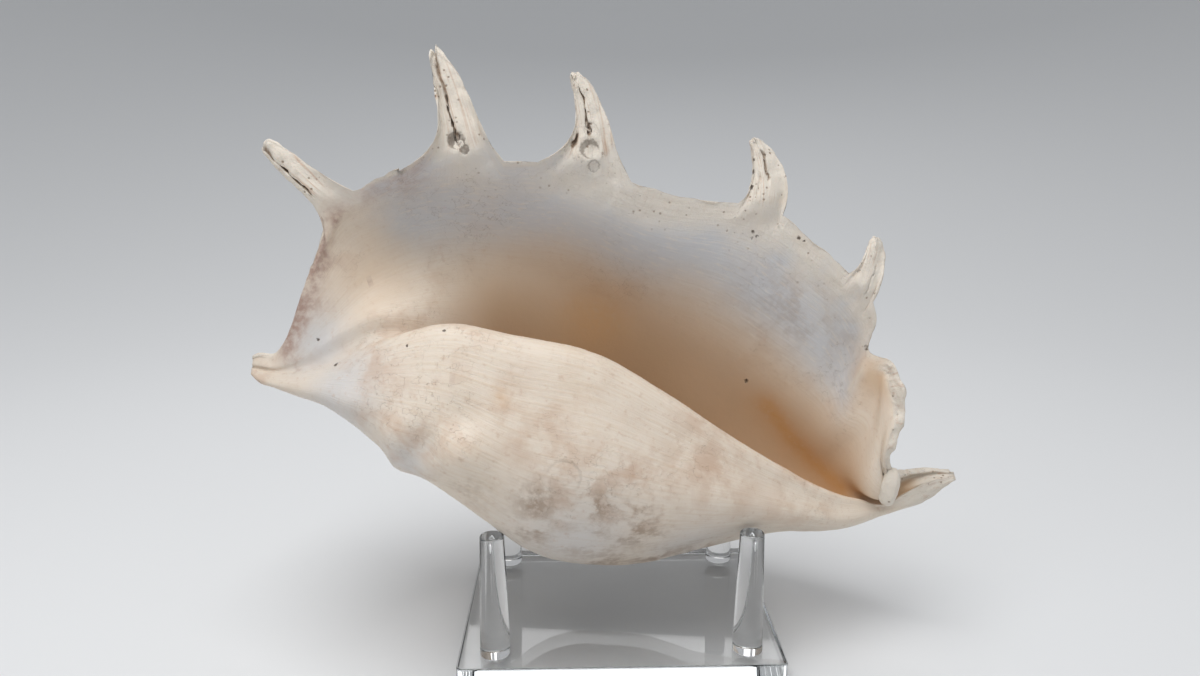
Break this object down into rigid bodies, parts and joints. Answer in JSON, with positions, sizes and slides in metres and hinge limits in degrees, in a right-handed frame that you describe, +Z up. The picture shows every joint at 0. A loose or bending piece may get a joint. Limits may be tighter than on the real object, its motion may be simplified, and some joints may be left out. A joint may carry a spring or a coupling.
{
  "type": "spider conch shell",
  "caption": "Worn spider conch shell with a flared lip drawn out into blunt digits, lying on a clear acrylic peg stand, for display.",
  "frame": {"origin": "centre of the stand plate's underside", "axes": "+X along the shell from spire to canal, +Y away from the open side of the shell, +Z up"},
  "size_m": [0.2235, 0.0939, 0.1878],
  "materials": {
    "shell": "worn shell, cream with tan mottling, semi-matte",
    "clear": "clear polished acrylic"
  },
  "bodies": {
    "root": {"shell": "shell", "stand_base": "clear", "peg_front_left": "clear", "peg_front_right": "clear", "peg_back_left": "clear", "peg_back_right": "clear"}
  },
  "joints": []
}
